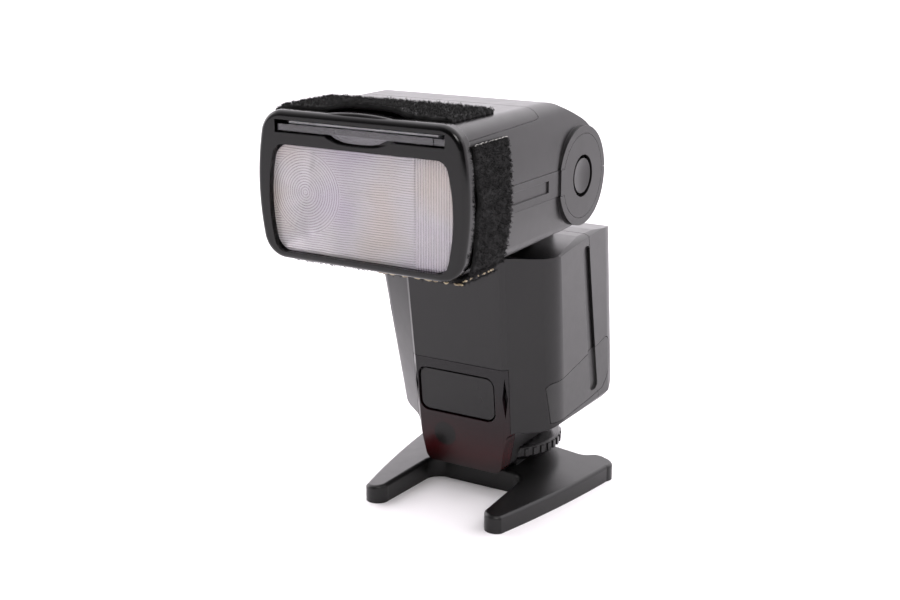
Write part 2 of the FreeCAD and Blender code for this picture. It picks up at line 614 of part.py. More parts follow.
def rear_controls():
    """The inlaid control panel with its display and keys, drawn square to the leaning rear face."""
    panel = slab("panel_plate", "XZ", frame_of("26.2", "-24", "24"), "-2.2", "0")
    rounded(panel, "2.4", along("Y"))
    holes = [block("panel_lcd_hole", ("-21.2", "-3", "2.8"), ("21.2", "3", "21.2"))]
    for name, x in REAR_ROWS:
        holes.append(block(f"{name}_hole", (f"{x} - 4.8", "-3", f"{ROW_Z} - 2.3"),
                           (f"{x} + 4.8", "3", f"{ROW_Z} + 2.3")))
        key = slab(f"{name}_key", "XZ", rectangle(f"{x} - 4.5", f"{x} + 4.5", f"{ROW_Z} - 2",
                                                  f"{ROW_Z} + 2"), "-3.2", "0.9")
        rounded(key, "1.2", along("Y"))
        rounded(key, "0.4", at_level("Y", "0.9"))
        node(name, key, REAR_AT, REAR_TURN)
    for name, x in SIDE_KEYS:
        holes.append(rod(f"{name}_hole", "3.9", (x, "-3", PAD_Z), "Y", "6"))
        key = fuse(f"{name}_key", rod(f"{name}_cap", "3.6", (x, "-3.2", PAD_Z), "Y", "4"),
                   rod(f"{name}_dome", "3", (x, "0", PAD_Z), "Y", "1.1"))
        node(name, key, REAR_AT, REAR_TURN)
    holes.append(rod("pad_hole", "9.4", ("0", "-3", PAD_Z), "Y", "6"))
    node("rear_panel", cut("panel_cut", panel, *holes), REAR_AT, REAR_TURN)
    pad = rod("pad_disc", "9.1", ("0", "-3.2", PAD_Z), "Y", "4")
    pad_bore = rod("pad_bore", "4.4", ("0", "-5", PAD_Z), "Y", "9")
    node("four_way_pad", cut("pad_cut", pad, pad_bore), REAR_AT, REAR_TURN)
    centre = fuse("ok_key", rod("ok_cap", "4.1", ("0", "-3.2", PAD_Z), "Y", "3.8"),
                  rod("ok_dome", "3.5", ("0", "0", PAD_Z), "Y", "0.9"))
    node("ok_button", centre, REAR_AT, REAR_TURN)
    glass = slab("lcd_glass", "XZ", frame_of("21", "3", "21"), "-1.6", "-0.2")
    rounded(glass, "1", along("Y"))
    node("lcd_window", glass, REAR_AT, REAR_TURN)
    node("lcd_module", slab("lcd_block", "XZ", frame_of("20", "3.6", "20.4"), "-6", "-2"), REAR_AT,
         REAR_TURN)
    node("control_board", slab("control_sheet", "XZ", frame_of("24", "-20", "22.6"), "-8.2", "-6.8"),
         REAR_AT, REAR_TURN)


# ---------------------------------------------------------------- swivel neck
def swivel_bearing():
    disc = rod("bearing_disc", "19.2", ("0", "0", "85"), "Z", "2.6")
    ring = common("bearing_ring", disc, body_form("bearing_room", "wall + 0.15"))
    bore = rod("bearing_bore", "collar_r + 0.08", ("0", "0", "80"), "Z", "12")
    node("swivel_bearing", cut("bearing_cut", ring, bore), BODY_AT)


def yoke():
    """The neck, drawn about the tilt axis: a drum on a stem that turns in the body."""
    drum = rod("neck_drum", "neck_r", ("-neck_half_w", "0", "0"), "X", "2*neck_half_w")
    stem = block("neck_stem", ("-neck_half_w", "-10.2", "95.4 - pivot_z"), ("neck_half_w", "12", "0"))
    collar = rod("neck_collar", "collar_r", ("0", "0", "84 - pivot_z"), "Z", "11.8")
    flange = rod("neck_flange", "16.9", ("0", "0", "82.4 - pivot_z"), "Z", "2.4")
    solid = fuse("neck_solid", drum, stem, collar, flange)
    bore = rod("neck_bore", "axle_r + running", ("-30", "0", "0"), "X", "60")
    cable_way = rod("neck_cable_way", "6", ("0", "0", "70 - pivot_z"), "Z", "40")
    node("yoke", cut("neck_cut", solid, bore, cable_way), HEAD_AT)


# ---------------------------------------------------------------- head
def head_section(inset):
    """Cross-section of the head: flat top and bottom, bowed sides."""
    return [
        (f"head_half_w - {inset}", f"head_low + {inset}"),
        (f"head_half_w - {inset}", f"head_top - {inset}", f"head_bow - {inset}"),
        (f"-head_half_w + {inset}", f"head_top - {inset}"),
        (f"-head_half_w + {inset}", f"head_low + {inset}", f"head_bow - {inset}"),
    ]


def head_side(inset, front):
    """Side view of the head: straight top and underside, sloping shoulder, round rear end."""
    ear = f"ear_r - {inset}"
    return [
        (front, f"head_low + {inset}"),
        ("-14", f"-ear_r - 0.9 + {inset}"),
        ("0", f"-({ear})", "60"),
        (ear, "0", ear),
        (f"({ear})*cos(48)", f"({ear})*sin(48)", ear),
        (f"2.4 - {inset}*0.3", f"18.7 - {inset}*0.9", "30"),
        (f"-9 - {inset}*0.3", f"23.6 - {inset}"),
        (f"-14 - {inset}*0.2", f"head_top - {inset}", "9"),
        (front, f"head_top - {inset}"),
    ]


def head_form(name, inset, front, rear):
    section = slab(f"{name}_section", "XZ", head_section(inset), front, rear)
    rounded(section, f"6 - {inset}", along("Y"))
    side = slab(f"{name}_side", "YZ", head_side(inset, front), "-40", "40")
    return common(name, section, side)


def neck_sector(name, half_w, drum_r, spread):
    """Room for the neck: a drum about the tilt axis, open below and behind."""
    drum = rod(f"{name}_drum", drum_r, (f"-({half_w})", "0", "0"), "X", f"2*({half_w})")
    wedge = slab(f"{name}_wedge", "YZ", [("0", "0"), (f"-30 - {spread}", "-31"), ("40", "-31"),
                                         ("40", f"43 + {spread}")],
                 f"-({half_w})", half_w)
    return fuse(name, drum, wedge)


def head_shells():
    outer = fuse("head_outer", head_form("head_skin", "0", "shell_front", "ear_r + 2"),
                 rod("head_boss", "ear_r", ("-boss_x", "0", "0"), "X", "2*boss_x"))
    room = neck_sector("head_neck_wall", "slot_half_w + 2", "slot_r + 2", "2.6")
    cavity = cut("head_cavity", head_form("head_inside", "head_wall", "shell_front - 4", "ear_r + 2"), room)
    slot = neck_sector("head_slot", "slot_half_w", "slot_r", "0")
    axle = rod("head_axle_bore", "axle_r", ("-27", "0", "0"), "X", "54")
    button = rod("head_button_bore", "6.8", ("24", "0", "0"), "X", "20")
    pocket = both_sides("head_pockets", keyhole("head_pocket", "36.2", "42", "0.15"))
    shell = cut("head_shell", outer, cavity, slot, axle, button, pocket)
    plate_zone = slab("plate_zone", "YZ", [("shell_front - 5", "20.6"), ("-28.5", "21.7"), ("-26", "22.2"),
                                           ("-26", "40"), ("shell_front - 5", "40")], "-45", "45")
    above = block("above_split", ("-50", "-90", "0.8 - seam"), ("50", "50", "50"))
    below = block("below_split", ("-50", "-90", "-50"), ("50", "50", "0.8 + seam"))
    zone_room = slab("plate_room", "YZ", [("shell_front - 5", "20.5"), ("-28.4", "21.6"), ("-25.8", "22.1"),
                                          ("-25.8", "40"), ("shell_front - 5", "40")], "-45", "45")
    node("head_upper_shell", cut("upper_cut", shell, below, zone_room), HEAD_AT)
    ribs = [block("rib_front_right", ("27", "-65.6", "-17"), ("34.6", "-64.2", "-3.6")),
            block("rib_front_left", ("-34.6", "-65.6", "-17"), ("-26", "-64.2", "-3.6")),
            block("rib_rear_right", ("27", "-21.6", "-16"), ("34.6", "-20.4", "-3.6"))]
    ribbed = fuse("lower_ribbed", cut("lower_half", shell, above), *ribs)
    rods = [rod("rib_rod_bore", "1.5", ("30", "-66", GUIDE_Z), "Y", "46"),
            rod("rib_screw_bore", "2.05", ("-29.4", "-66", GUIDE_Z), "Y", "3")]
    node("head_lower_shell", cut("lower_cut", ribbed, *rods), HEAD_AT)
    node("head_top_cover", common("top_cover_piece", shell, plate_zone), HEAD_AT)


def keyhole(name, near, far, grow):
    """Keyhole outline of the pivot covers: a disc and the strip that runs forward from it."""
    disc = rod(f"{name}_disc", f"13.9 + {grow}", (near, "0", "0"), "X", f"({far}) - ({near})")
    strip = block(f"{name}_strip", (near, f"-49.2 - {grow}", f"-4.2 - {grow}"), (far, "0", f"4.2 + {grow}"))
    return fuse(f"{name}_both", disc, strip)


def pivot_covers():
    for name, side in (("right", 1), ("left", -1)):
        blank = keyhole(f"cover_{name}", "36.3", "boss_x", "0")
        thin = block(f"cover_{name}_thin", ("37.5", "-60", "-5"), ("40", "-15.5", "5"))
        groove = block(f"cover_{name}_groove", ("37", "-49", "-1.9"), ("40", "-23", "1.9"))
        tools = [thin, groove]
        if side > 0:
            tools.append(rod("cover_button_hole", "7", ("30", "0", "0"), "X", "20"))
        else:
            ring = cut("cover_left_ring", rod("cover_left_outer", "7.2", ("37.4", "0", "0"), "X", "3"),
                       rod("cover_left_inner", "6.4", ("37", "0", "0"), "X", "4"))
            tools.append(ring)
        piece = cut(f"cover_{name}_cut", blank, *tools)
        if side < 0:
            piece = mirrored("cover_left_piece", piece)
        node(f"pivot_cover_{name}", piece, HEAD_AT)


def tilt_lock():
    cap = rod("button_cap", "5.8", ("31", "0", "0"), "X", "6.9")
    dish = doc.addObject("Part::Sphere", "button_dish")
    bind(dish, "Radius", "24")
    place(dish, ("37.9 + 24 - 0.7", "0", "0"))
    node("tilt_release_button", cut("button_cut", cap, dish), HEAD_AT)
    coil = cut("coil_cut", rod("coil_outer", "4.6", ("26.4", "0", "0"), "X", "4.6"),
               rod("coil_inner", "3.7", ("20", "0", "0"), "X", "20"))
    node("tilt_button_spring", coil, HEAD_AT)
    axle = rod("axle_bar", "axle_r", ("-26", "0", "0"), "X", "52")
    node("tilt_axle", axle, ("-26", "swivel_y", "pivot_z"), TURNS["X"])


BUMP = [("-22", "21"), ("22", "21"), ("22", "23.8"), ("-22", "23.8", "88")]


def front_bezel():
    """The moulded frame round the lens, with a finger bump over the pull-out panel."""
    frame = slab("bezel_frame", "XZ", head_section("-0.6"), "bezel_front", "shell_front - 0.05")
    rounded(frame, "8.4", along("Y"))
    rounded(frame, "1.9", at_level("Y", "bezel_front"))
    hump = slab("bezel_hump", "XZ", BUMP, "bezel_front + 1", "shell_front - 0.05")
    rounded(hump, "0.9", at_level("Y", "bezel_front + 1"))
    lens_hole = slab("bezel_lens_hole", "XZ", lens_outline("0.1"), "bezel_front - 5", "shell_front + 5")
    rounded(lens_hole, "4", along("Y"))
    panel_hole = block("bezel_panel_hole", ("-30.6", "bezel_front - 5", "18.9"), ("30.6", "-60", "22.9"))
    finger = [("-12.4", "19.2"), ("-5.2", "16.9", "15"), ("5.2", "16.9", "70"), ("12.4", "19.2", "15")]
    finger_hole = slab("bezel_finger_hole", "XZ", finger, "bezel_front - 5", "bezel_front + 3")
    node("front_bezel", cut("bezel_cut", fuse("bezel_solid", frame, hump), lens_hole, panel_hole,
                            finger_hole), HEAD_AT)


def lens_outline(grow):
    return [
        (f"30.7 + {grow}", f"-18.4 - {grow}"),
        (f"30.7 + {grow}", f"15.2 + {grow}", f"55 + {grow}"),
        (f"-30.7 - {grow}", f"15.2 + {grow}"),
        (f"-30.7 - {grow}", f"-18.4 - {grow}", f"55 + {grow}"),
    ]


def fresnel_lens():
    pane = slab("lens_pane", "XZ", lens_outline("0"), "bezel_front + 1.6", "bezel_front + 3.8")
    rounded(pane, "4", along("Y"))
    flange = slab("lens_flange", "XZ", frame_of("32", "-17", "16"), "shell_front + 0.3",
                  "shell_front + 1.5")
    rim = slab("lens_rim", "XZ", frame_of("29", "-16.5", "13.5"), "shell_front - 3", "shell_front + 1")
    inside = slab("lens_inside", "XZ", frame_of("28", "-15.5", "12.5"), "bezel_front + 3.8",
                  "shell_front + 3")
    whole = fuse("lens_whole", pane, flange, rim)
    node("fresnel_lens", cut("lens_cut", whole, inside), HEAD_AT)


def panel_pieces():
    plate = block("wide_plate", ("-30", "bezel_front + 1", "19.4"), ("30", "-26", "21.4"))
    tab = slab("wide_tab", "XZ", [("-10.5", "19.6"), ("-4.5", "17.5", "14"), ("4.5", "17.5", "60"),
                                  ("10.5", "19.6", "14")],
               "bezel_front + 1", "bezel_front + 2.4")
    mark = block("wide_mark", ("26", "bezel_front", "19"), ("26.4", "bezel_front + 1.6", "22"))
    node("wide_panel", cut("wide_cut", fuse("wide_whole", plate, tab), mark), HEAD_AT)
    node("bounce_card", block("bounce_plate", ("-27", "bezel_front + 2.6", "21.6"), ("27", "-27", "22.2")),
         ("-27", "swivel_y + bezel_front + 2.6", "pivot_z + 21.6"))
    outside = block("tray_box", ("-31.4", "-66", "16.9"), ("31.4", "-22.4", "22.4"))
    inside = block("tray_room", ("-30.4", "-80", "18"), ("30.4", "-24", "30"))
    node("panel_tray", cut("panel_tray_cut", outside, inside), HEAD_AT)


# ---------------------------------------------------------------- zoom reflector
GUIDE_Z = "-7.7"


def reflector():
    outside = slab("mirror_outside", "YZ", [("-61", "-13.2"), ("-46", "-6.6", "30"),
                                            ("-43", "-3.5", "6"), ("-43", "3.5"),
                                            ("-46", "6.6", "6"), ("-61", "13.2", "30")], "-25.5", "25.5")
    inside = slab("mirror_inside", "YZ", [("-62", "-12.6"), ("-46.4", "-6", "30"),
                                          ("-43.7", "-3.2", "5.4"), ("-43.7", "3.2"),
                                          ("-46.4", "6", "5.4"), ("-62", "12.6", "30")], "-24.8", "24.8")
    ends = rod("mirror_ends", "2.2", ("-30", "-47.2", "0"), "X", "60")
    node("reflector", cut("mirror_cut", outside, inside, ends), HEAD_AT)


def flash_tube():
    tube = rod("tube_glass", "1.9", ("-29", "-47.2", "0"), "X", "58")
    node("flash_tube", tube, ("-29", "swivel_y - 47.2", "pivot_z"), TURNS["X"])
    boots = []
    for side in (-1, 1):
        start = "25.7" if side > 0 else "-30.2"
        boot = rod(f"boot_{side + 1}", "3.1", (start, "-47.2", "0"), "X", "4.5")
        boots.append(cut(f"boot_cut_{side + 1}", boot,
                         rod(f"boot_bore_{side + 1}", "1.9", ("-29", "-47.2", "0"), "X", "58")))
    group = doc.addObject("Part::Compound", "boot_group")
    group.Links = boots
    node("tube_end_boots", group, HEAD_AT)


def zoom_drive():
    plate = block("carriage_plate", ("-26", "-42.9", "-11.5"), ("26", "-41.3", "11.5"))
    arm_left = block("carriage_arm_left", ("-30", "-42.9", "-11"), ("-25", "-38.5", "-4.4"))
    arm_right = block("carriage_arm_right", ("25", "-42.9", "-11"), ("30", "-38.5", "-4.4"))
    nut = rod("carriage_nut", "4", ("-29.4", "-42.9", GUIDE_Z), "Y", "4.4")
    bush = rod("carriage_bush", "3.2", ("30", "-42.9", GUIDE_Z), "Y", "4.4")
    bores = [rod("nut_bore", "2.05", ("-29.4", "-66", GUIDE_Z), "Y", "60"),
             rod("bush_bore", "1.5 + running", ("30", "-66", GUIDE_Z), "Y", "60")]
    node("zoom_carriage", cut("carriage_cut", fuse("carriage", plate, arm_left, arm_right, nut, bush),
                              *bores), HEAD_AT)
    screw = rod("lead_screw", "2", ("-29.4", "-65.2", GUIDE_Z), "Y", "47.2")
    node("zoom_lead_screw", screw, ("-29.4", "swivel_y - 65.2", "pivot_z - 7.7"), TURNS["Y"])
    guide = rod("guide_bar", "1.5", ("30", "-65.4", GUIDE_Z), "Y", "44.8")
    node("guide_rod", guide, ("30", "swivel_y - 65.4", "pivot_z - 7.7"), TURNS["Y"])
    motor = rod("motor_can", "4.4", ("-29.4", "-17.6", GUIDE_Z), "Y", "15")
    node("zoom_motor", motor, ("-29.4", "swivel_y - 17.6", "pivot_z - 7.7"), TURNS["Y"])


# ---------------------------------------------------------------- hook-and-loop pads
def loop_pads():
    """Soft strips stuck round the front of the head, one on each face."""
    top = slab("pad_top_area", "XY", rectangle("-30.5", "33.5", "pad_front + 1", "pad_rear + 3"),
               "head_top", "head_top + pad_thick")
    rounded(top, "2", along("Z"))
    node("loop_pad_top", top, HEAD_AT)
    low = slab("pad_low_area", "XY", rectangle("-29.5", "29.5", "pad_front + 1", "pad_rear + 1"),
               "head_low - pad_thick + 0.6", "head_low + 0.5")
    form = head_form("pad_low_form", "0", "shell_front", "ear_r + 2")
    node("loop_pad_bottom", cut("pad_low_cut", low, form), HEAD_AT)
    wide = slab("pad_side_form", "XZ", head_section("-pad_thick"), "pad_front + 0.6", "pad_rear")
    near = slab("pad_side_core", "XZ", head_section("0"), "pad_front - 5", "pad_rear + 5")
    ring = cut("pad_side_ring", wide, near)
    for name, low_x, high_x in (("right", "30", "45"), ("left", "-45", "-30")):
        area = slab(f"pad_{name}_area", "YZ", rectangle("pad_front + 0.6", "pad_rear", "-16", "19.4"),
                    low_x, high_x)
        node(f"loop_pad_{name}", common(f"pad_{name}_piece", ring, area), HEAD_AT)


# ---------------------------------------------------------------- build and check
def build():
    stand()
    stand_thread_insert()
    mounting_foot()
    foot_screws()
    foot_contact_pin()
    clamp_plate()
    lock_ring()
    outer = casing()
    front_pieces(outer)
    side_pieces(outer)
    battery_pieces()
    electronics()
    rear_controls()
    swivel_bearing()
    yoke()
    head_shells()
    pivot_covers()
    tilt_lock()
    front_bezel()
    fresnel_lens()
    panel_pieces()
    reflector()
    flash_tube()
    zoom_drive()
    loop_pads()
    doc.recompute()


def check():
    """Stop if any feature failed or any sub-part has no valid solid."""
    faults = [f"{o.Name}: {o.State}" for o in doc.Objects if {"Invalid", "Error"} & set(o.State)]
    for name, part in SUBPARTS.items():
        shape = part.Shape
        if shape.isNull() or not shape.isValid() or not shape.Solids:
            faults.append(f"{name}: no valid solid")
    if faults:
        raise RuntimeError("; ".join(faults))


build()
check()
os.makedirs("parts", exist_ok=True)
for label, part in SUBPARTS.items():
    part.Shape.exportStep(f"parts/{label}.step")
    size = part.Shape.BoundBox
    print(f"{label:22s} solids {len(part.Shape.Solids)} volume {part.Shape.Volume:9.1f} "
          f"x {size.XMin:6.1f} {size.XMax:6.1f} y {size.YMin:6.1f} {size.YMax:6.1f} "
          f"z {size.ZMin:6.1f} {size.ZMax:6.1f}")
print(len(SUBPARTS), "sub-parts")
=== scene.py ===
import json
import math
import random

import bmesh
import bpy
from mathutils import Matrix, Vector, noise


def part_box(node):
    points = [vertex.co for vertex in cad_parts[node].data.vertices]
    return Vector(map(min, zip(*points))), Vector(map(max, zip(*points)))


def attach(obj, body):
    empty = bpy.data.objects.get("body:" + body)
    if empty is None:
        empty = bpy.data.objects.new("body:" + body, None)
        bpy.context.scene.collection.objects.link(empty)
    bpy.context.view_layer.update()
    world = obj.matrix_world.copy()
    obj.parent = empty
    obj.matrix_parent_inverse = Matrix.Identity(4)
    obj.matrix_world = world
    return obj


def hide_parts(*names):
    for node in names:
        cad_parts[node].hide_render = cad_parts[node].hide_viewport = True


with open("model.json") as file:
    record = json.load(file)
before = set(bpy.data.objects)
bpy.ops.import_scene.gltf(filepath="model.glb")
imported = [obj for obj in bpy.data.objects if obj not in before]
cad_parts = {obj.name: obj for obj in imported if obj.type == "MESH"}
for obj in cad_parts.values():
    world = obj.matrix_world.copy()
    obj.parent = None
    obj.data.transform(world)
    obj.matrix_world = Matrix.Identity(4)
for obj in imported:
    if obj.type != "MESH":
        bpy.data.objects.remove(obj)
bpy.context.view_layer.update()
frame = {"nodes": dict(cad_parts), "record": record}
MM = 0.001
NODES = frame["nodes"]
SLOTS = {part["node"]: part["material_slot"] for part in frame["record"]["subparts"]}


# ---------------------------------------------------------------- material helpers
class Shader:
    """A material with one Principled shader, and short calls for the nodes that feed it."""

    def __init__(self, name, **sockets):
        self.material = bpy.data.materials.new(name)
        self.material.use_nodes = True
        self.tree = self.material.node_tree
        self.bsdf = self.tree.nodes["Principled BSDF"]
        for socket, size in sockets.items():
            self.bsdf.inputs[socket.replace("_", " ")].default_value = size
        self.place = self.add("ShaderNodeTexCoord").outputs["Object"]

    def add(self, kind, **settings):
        made = self.tree.nodes.new(kind)
        for key, size in settings.items():
            if hasattr(made, key):
                setattr(made, key, size)
            else:
                made.inputs[key.replace("_", " ").title()].default_value = size
        return made

    def link(self, a, b):
        self.tree.links.new(a, b)

    def noise(self, scale, detail=2.0, roughness=0.5, stretch=None):
        """Noise in the object's own metres; scale is in cells per millimetre."""
        made = self.add("ShaderNodeTexNoise", Scale=scale / MM, Detail=detail, Roughness=roughness)
        where = self.place
        if stretch:
            mapped = self.add("ShaderNodeMapping")
            mapped.inputs["Scale"].default_value = stretch
            self.link(where, mapped.inputs["Vector"])
            where = mapped.outputs["Vector"]
        self.link(where, made.inputs["Vector"])
        return made.outputs["Fac"]

    def ramp(self, fac, stops):
        """Colour ramp from (position, colour) stops."""
        made = self.add("ShaderNodeValToRGB")
        ramp = made.color_ramp
        while len(ramp.elements) < len(stops):
            ramp.elements.new(0.5)
        for element, (where, colour) in zip(ramp.elements, stops):
            element.position = where
            element.color = (*colour, 1.0)
        self.link(fac, made.inputs["Fac"])
        return made.outputs["Color"]

    def maths(self, operation, a, b=0.0, c=0.0):
        made = self.add("ShaderNodeMath", operation=operation)
        for socket, size in zip(made.inputs, (a, b, c)):
            if isinstance(size, (int, float)):
                socket.default_value = size
            else:
                self.link(size, socket)
        return made.outputs[0]

    def length(self, a, b):
        """Length of the vector whose two components are a and b."""
        squares = self.maths("ADD", self.maths("MULTIPLY", a, a), self.maths("MULTIPLY", b, b))
        return self.maths("SQRT", squares)

    def axis(self, letter):
        made = self.add("ShaderNodeSeparateXYZ")
        self.link(self.place, made.inputs[0])
        return made.outputs[letter]

    def bump(self, height, strength, depth, normal=None):
        """Bump of a given depth in millimetres."""
        made = self.add("ShaderNodeBump")
        made.inputs["Strength"].default_value = strength
        made.inputs["Distance"].default_value = depth * MM
        self.link(height, made.inputs["Height"])
        if normal:
            self.link(normal, made.inputs["Normal"])
        return made.outputs["Normal"]

    def soft_edges(self, radius):
        made = self.add("ShaderNodeBevel", samples=4)
        made.inputs["Radius"].default_value = radius * MM
        return made.outputs["Normal"]

    def into(self, socket, output):
        self.link(output, self.bsdf.inputs[socket])
        return self


def grey(level, warm=0.0):
    """A dark neutral; warm leans it towards red and violet."""
    return (level * (1 + warm), level, level * (1 + warm * 0.8))


def moulded(name, level, rough, grain=1.6, depth=0.012, edge=0.25, warm=0.03, ior=1.4):
    """Moulded black plastic: fine spark-eroded grain, faint sheen patches, softened edges."""
    s = Shader(name, IOR=ior)
    patches = s.noise(0.05, detail=3)
    tones = [(0.3, grey(level * 0.9, warm)), (0.7, grey(level * 1.12, warm))]
    s.into("Base Color", s.ramp(patches, tones))
    worn = s.noise(0.22, detail=4, roughness=0.6)
    s.into("Roughness", s.maths("MULTIPLY_ADD", worn, 0.12, rough - 0.06))
    s.into("Normal", s.bump(s.noise(grain, detail=3), 0.35, depth, s.soft_edges(edge)))
    return s.material


def metal(name, colour, rough, brushed=(1, 1, 1), grain=2.0):
    s = Shader(name, Metallic=1.0)
    fine = s.noise(grain, detail=4, stretch=brushed)
    s.into("Base Color", s.ramp(fine, [(0.3, [c * 0.85 for c in colour]), (0.7, colour)]))
    s.into("Roughness", s.maths("MULTIPLY_ADD", fine, 0.15, rough - 0.07))
    s.into("Normal", s.bump(fine, 0.2, 0.01, s.soft_edges(0.12)))
    return s.material


EYE_AT, EYE_R = (-7.0, 22.5), 4.4
RING_AT, RING_ZONE = (-20.8, 118.4), 13.0
BAND_X = 19.5


def red_window():
    """Dark red filter plastic. Its base colour carries a painted glow low down and painted shade that fades to
    near black at the top.
    """
    s = Shader("red_filter", Coat_Weight=0.05, Coat_Roughness=0.06, IOR=1.35)
    low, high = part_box("front_red_window")
    height = s.add("ShaderNodeMapRange")
    height.inputs["From Min"].default_value = low[2]
    height.inputs["From Max"].default_value = high[2]
    s.link(s.axis("Z"), height.inputs["Value"])
    mottle = s.maths("MULTIPLY_ADD", s.noise(0.08, detail=3), 0.16, -0.08)
    level = s.maths("ADD", height.outputs[0], mottle)
    # Painted glow and shade by height: dark at the bottom edge, brightest red just above it, fading to
    # near-black grey at the top.
    stops = [(0.0, (0.006, 0.001, 0.001)), (0.15, (0.026, 0.001, 0.002)), (0.42, (0.011, 0.001, 0.002)),
             (0.78, (0.006, 0.005, 0.006))]
    across = s.maths("SUBTRACT", s.maths("MULTIPLY", s.axis("X"), 1 / MM), EYE_AT[0])
    rise = s.maths("SUBTRACT", s.maths("MULTIPLY", s.axis("Z"), 1 / MM), EYE_AT[1])
    away = s.length(across, rise)
    shade = s.add("ShaderNodeMix", data_type="RGBA")
    s.link(s.maths("LESS_THAN", away, EYE_R), shade.inputs[0])
    s.link(s.ramp(level, stops), shade.inputs[6])
    shade.inputs[7].default_value = (0.002, 0.001, 0.001, 1)
    s.into("Base Color", shade.outputs[2])
    s.into("Roughness", s.maths("MULTIPLY_ADD", s.noise(0.4), 0.08, 0.16))
    s.into("Normal", s.soft_edges(0.3))
    return s.material


def clear_plastic(name, tint, rough, grain=0.0):
    """Clear acrylic."""
    s = Shader(name, Transmission_Weight=0.92, IOR=1.49, Roughness=rough)
    s.into("Base Color", s.ramp(s.noise(0.1), [(0.3, [c * 0.94 for c in tint]), (0.7, tint)]))
    if grain:
        s.into("Normal", s.bump(s.noise(grain), 0.3, 0.02))
    return s.material


def lens_acrylic():
    """Ribbed clear acrylic whose base colour carries painted highlight and shade: each prism is painted light
    on one flank and dark on the other, for the light it bends.
    """
    s = Shader("lens_acrylic", Transmission_Weight=0.68, IOR=1.49, Roughness=0.05)
    x = s.maths("MULTIPLY", s.axis("X"), 1 / MM)
    z = s.maths("MULTIPLY", s.axis("Z"), 1 / MM)
    band = s.maths("GREATER_THAN", x, BAND_X)
    wobble = s.maths("MULTIPLY", s.noise(0.12, detail=2), 0.8)
    upright = s.maths("PINGPONG", s.maths("SUBTRACT", x, BAND_X), 0.45)
    lines = s.maths("PINGPONG", s.maths("ADD", z, wobble), 0.38)
    across = s.maths("SUBTRACT", x, RING_AT[0])
    rise = s.maths("SUBTRACT", z, RING_AT[1])
    ring = s.length(across, rise)
    rings = s.maths("PINGPONG", ring, 0.42)
    inner = s.maths("LESS_THAN", ring, RING_ZONE)
    spread = s.add("ShaderNodeMix", data_type="FLOAT")
    s.link(inner, spread.inputs[0])
    s.link(lines, spread.inputs[2])
    s.link(rings, spread.inputs[3])
    chosen = s.add("ShaderNodeMix", data_type="FLOAT")
    s.link(band, chosen.inputs[0])
    s.link(spread.outputs[0], chosen.inputs[2])
    s.link(upright, chosen.inputs[3])
    # Painted highlight and shade: light and dark bands of base colour along the prism lines and rings.
    painted_prism_light = s.ramp(s.maths("MULTIPLY", chosen.outputs[0], 2.3),
                  [(0.0, (0.54, 0.52, 0.53)), (0.5, (0.88, 0.86, 0.88)), (1.0, (1.0, 0.99, 0.99))])
    # Painted reflection tint: large noise patches of warm beige and lilac in the clear lens's base colour.
    tint = s.ramp(s.noise(0.035, detail=2), [(0.35, (1.0, 0.94, 0.88)), (0.5, (1.0, 0.99, 1.0)),
                                             (0.65, (0.93, 0.89, 0.98))])
    both = s.add("ShaderNodeMix", data_type="RGBA", blend_type="MULTIPLY")
    both.inputs[0].default_value = 1.0
    s.link(painted_prism_light, both.inputs[6])
    s.link(tint, both.inputs[7])
    s.into("Base Color", both.outputs[2])
    return s.material


def circuit_board():
    s = Shader("circuit_board", Roughness=0.35)
    cells = s.add("ShaderNodeTexVoronoi", distance="CHEBYCHEV", feature="F1")
    cells.inputs["Scale"].default_value = 0.22 / MM
    s.link(s.place, cells.inputs["Vector"])
    tones = [(0.1, (0.5, 0.45, 0.2)), (0.16, (0.01, 0.08, 0.04)), (0.5, (0.02, 0.13, 0.06))]
    s.into("Base Color", s.ramp(cells.outputs["Distance"], tones))
    s.into("Normal", s.bump(cells.outputs["Distance"], 0.4, 0.05))
    return s.material


def sleeve(name, colour, second):
    """Printed plastic sleeve with a band of a second colour."""
    s = Shader(name, Roughness=0.3, Coat_Weight=0.3)
    bands = s.add("ShaderNodeTexWave", bands_direction="X")
    bands.inputs["Scale"].default_value = 0.006 / MM
    s.link(s.place, bands.inputs["Vector"])
    s.into("Base Color", s.ramp(bands.outputs["Fac"], [(0.45, colour), (0.55, second)]))
    s.into("Normal", s.bump(s.noise(1.0), 0.15, 0.01))
    return s.material


def display_panel():
    """Unlit liquid-crystal display: grey-green with faint segment rows."""
    s = Shader("display_panel", Roughness=0.25)
    rows = s.add("ShaderNodeTexBrick")
    rows.inputs["Color1"].default_value = (0.20, 0.23, 0.17, 1)
    rows.inputs["Color2"].default_value = (0.21, 0.24, 0.18, 1)
    rows.inputs["Mortar"].default_value = (0.16, 0.19, 0.14, 1)
    rows.inputs["Scale"].default_value = 0.12 / MM
    s.link(s.place, rows.inputs["Vector"])
    s.into("Base Color", rows.outputs["Color"])
    s.into("Normal", s.bump(s.noise(1.0), 0.1, 0.01))
    return s.material


def rubber(name, level, rough):
    s = Shader(name)
    tones = [(0.3, grey(level * 0.85)), (0.7, grey(level * 1.1))]
    s.into("Base Color", s.ramp(s.noise(0.3, detail=4), tones))
    s.into("Roughness", s.maths("MULTIPLY_ADD", s.noise(0.6), 0.1, rough))
    s.into("Normal", s.bump(s.noise(1.2, detail=4), 0.3, 0.02, s.soft_edges(0.2)))
    return s.material


def loop_fabric(name, dark, light):
    """Matt black nylon pile with paler threads in it."""
    s = Shader(name, Roughness=0.8, Sheen_Weight=0.02, Sheen_Roughness=0.5, IOR=1.3)
    threads = s.noise(1.3, detail=5, roughness=0.7)
    tones = [(0.35, grey(dark)), (0.6, grey(light)), (0.75, grey(light * 3))]
    s.into("Base Color", s.ramp(threads, tones))
    s.into("Normal", s.bump(s.noise(1.6, detail=4), 0.8, 0.15))
    return s.material


